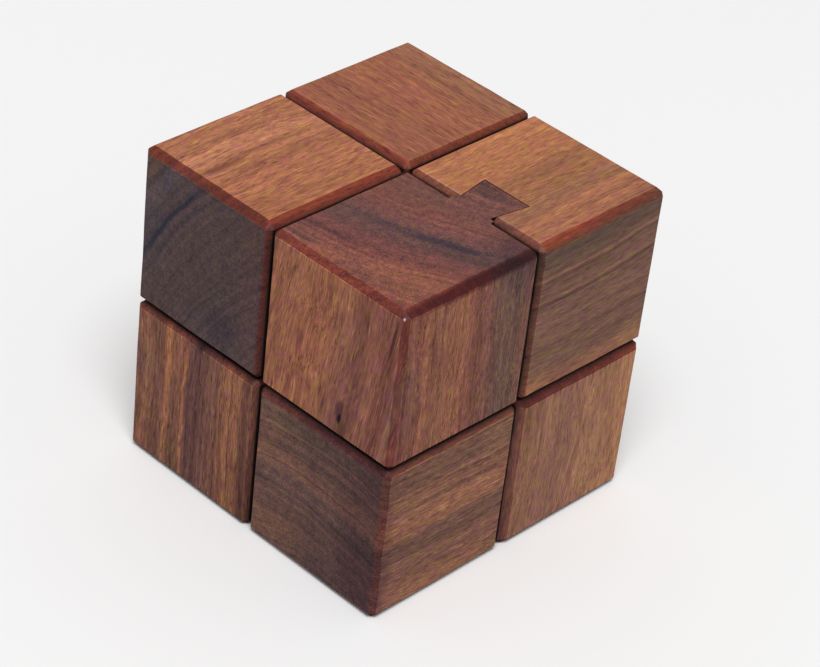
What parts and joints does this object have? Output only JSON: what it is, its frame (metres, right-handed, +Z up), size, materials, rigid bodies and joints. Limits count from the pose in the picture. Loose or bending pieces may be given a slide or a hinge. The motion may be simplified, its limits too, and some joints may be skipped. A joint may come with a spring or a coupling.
{
  "type": "dovetailed wooden cube puzzle",
  "caption": "Wooden take-apart cube puzzle: bevelled hardwood cubes packed two by two by two, joined face to face by sliding dovetails, with one dovetail seen on top.",
  "frame": {"origin": "middle of the square that the cube stands on, at the level of the table", "axes": "+Z up; -Y towards the left-hand side face seen in the picture, +X towards the right-hand one; the dovetail seen on top runs from the cube at +X -Y into the cube at +X +Y"},
  "size_m": [0.0604, 0.0604, 0.0603],
  "materials": {
    "wood_purple_brown": "oiled, satin",
    "wood_light_brown": "oiled, satin",
    "wood_red_brown": "oiled, satin",
    "wood_orange_brown": "oiled, satin",
    "wood_dark_brown": "oiled, satin",
    "wood_pink_brown": "oiled, satin",
    "wood_striped_brown": "oiled, satin"
  },
  "bodies": {
    "front_bottom_cube": {"front_bottom_cube": "wood_dark_brown"},
    "right_bottom_cube": {"right_bottom_cube": "wood_pink_brown"},
    "back_bottom_cube": {"back_bottom_cube": "wood_dark_brown"},
    "back_top_cube": {"back_top_cube": "wood_red_brown"},
    "right_top_cube": {"right_top_cube": "wood_light_brown"},
    "key_cube": {"key_cube": "wood_purple_brown"},
    "left_bottom_cube": {"left_bottom_cube": "wood_striped_brown"},
    "left_top_cube": {"left_top_cube": "wood_orange_brown"}
  },
  "joints": [
    {"name": "right_bottom_cube_slide", "type": "slide", "parent": "front_bottom_cube", "child": "right_bottom_cube", "axis": [0, 0, 1], "range_m": [0, 0.03]},
    {"name": "back_bottom_cube_slide", "type": "slide", "parent": "right_bottom_cube", "child": "back_bottom_cube", "axis": [0, 1, 0], "range_m": [0, 0.03]},
    {"name": "back_top_cube_slide", "type": "slide", "parent": "back_bottom_cube", "child": "back_top_cube", "axis": [1, 0, 0], "range_m": [0, 0.03]},
    {"name": "right_top_cube_slide", "type": "slide", "parent": "back_top_cube", "child": "right_top_cube", "axis": [0, 1, 0], "range_m": [0, 0.03]},
    {"name": "key_cube_slide", "type": "slide", "parent": "right_top_cube", "child": "key_cube", "axis": [0, 0, 1], "range_m": [0, 0.03]},
    {"name": "left_bottom_cube_slide", "type": "slide", "parent": "back_bottom_cube", "child": "left_bottom_cube", "axis": [0, 0, 1], "range_m": [0, 0.03]},
    {"name": "left_top_cube_slide", "type": "slide", "parent": "left_bottom_cube", "child": "left_top_cube", "axis": [-1, 0, 0], "range_m": [0, 0.03]}
  ]
}
